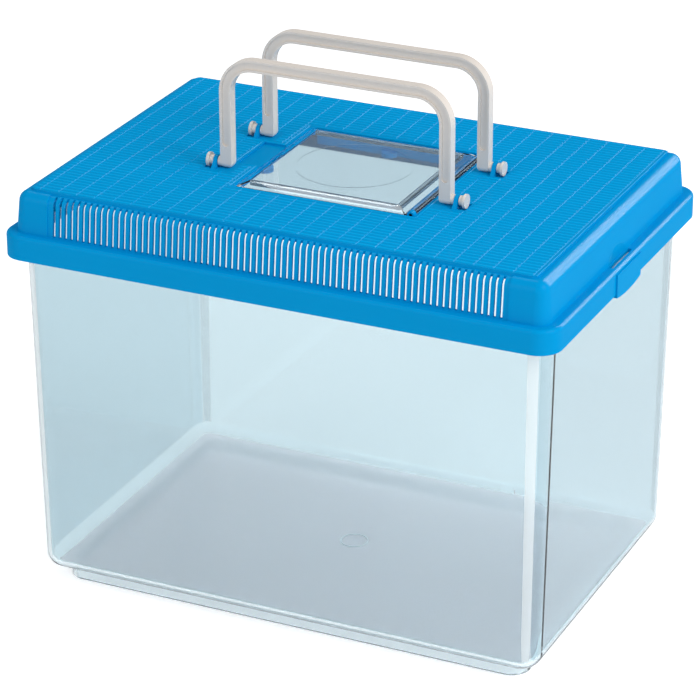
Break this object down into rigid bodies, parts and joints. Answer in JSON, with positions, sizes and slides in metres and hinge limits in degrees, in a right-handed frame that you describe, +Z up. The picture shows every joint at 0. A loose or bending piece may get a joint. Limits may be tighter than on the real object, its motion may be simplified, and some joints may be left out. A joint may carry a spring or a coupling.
{
  "type": "pet keeper",
  "caption": "Clear rectangular keeper for small pets with a vented lift-off lid, a clear hinged hatch door and two fold-down carrying grips.",
  "frame": {"origin": "centre of the footprint, on the plane that the tank's foot ring stands on", "axes": "+X to the right-hand end (the hatch's hinge side), +Y to the back, +Z up"},
  "size_m": [0.3018, 0.206, 0.2823],
  "materials": {
    "clear_plastic": "gloss",
    "clear_door": "gloss",
    "blue_plastic": "gloss",
    "ivory_plastic": "satin"
  },
  "bodies": {
    "tank": {"tank": "clear_plastic"},
    "lid": {"lid": "blue_plastic"},
    "hatch": {"hatch_door": "clear_door"},
    "front_grip": {"front_grip": "ivory_plastic"},
    "rear_grip": {"rear_grip": "ivory_plastic"}
  },
  "joints": [
    {"name": "lid_lift", "type": "slide", "parent": "tank", "child": "lid", "axis": [0, 0, 1], "range_m": [0, 0.12]},
    {"name": "hatch_hinge", "type": "hinge", "parent": "lid", "child": "hatch", "pos_m": [0.0516, 0, 0.2225], "axis": [0, 1, 0], "range_deg": [0, 27]},
    {"name": "front_grip_fold", "type": "hinge", "parent": "lid", "child": "front_grip", "pos_m": [0, -0.0243, 0.2253], "axis": [1, 0, 0], "range_deg": [-22, 90]},
    {"name": "rear_grip_fold", "type": "hinge", "parent": "lid", "child": "rear_grip", "pos_m": [0, 0.0243, 0.2253], "axis": [-1, 0, 0], "range_deg": [-22, 90]}
  ]
}
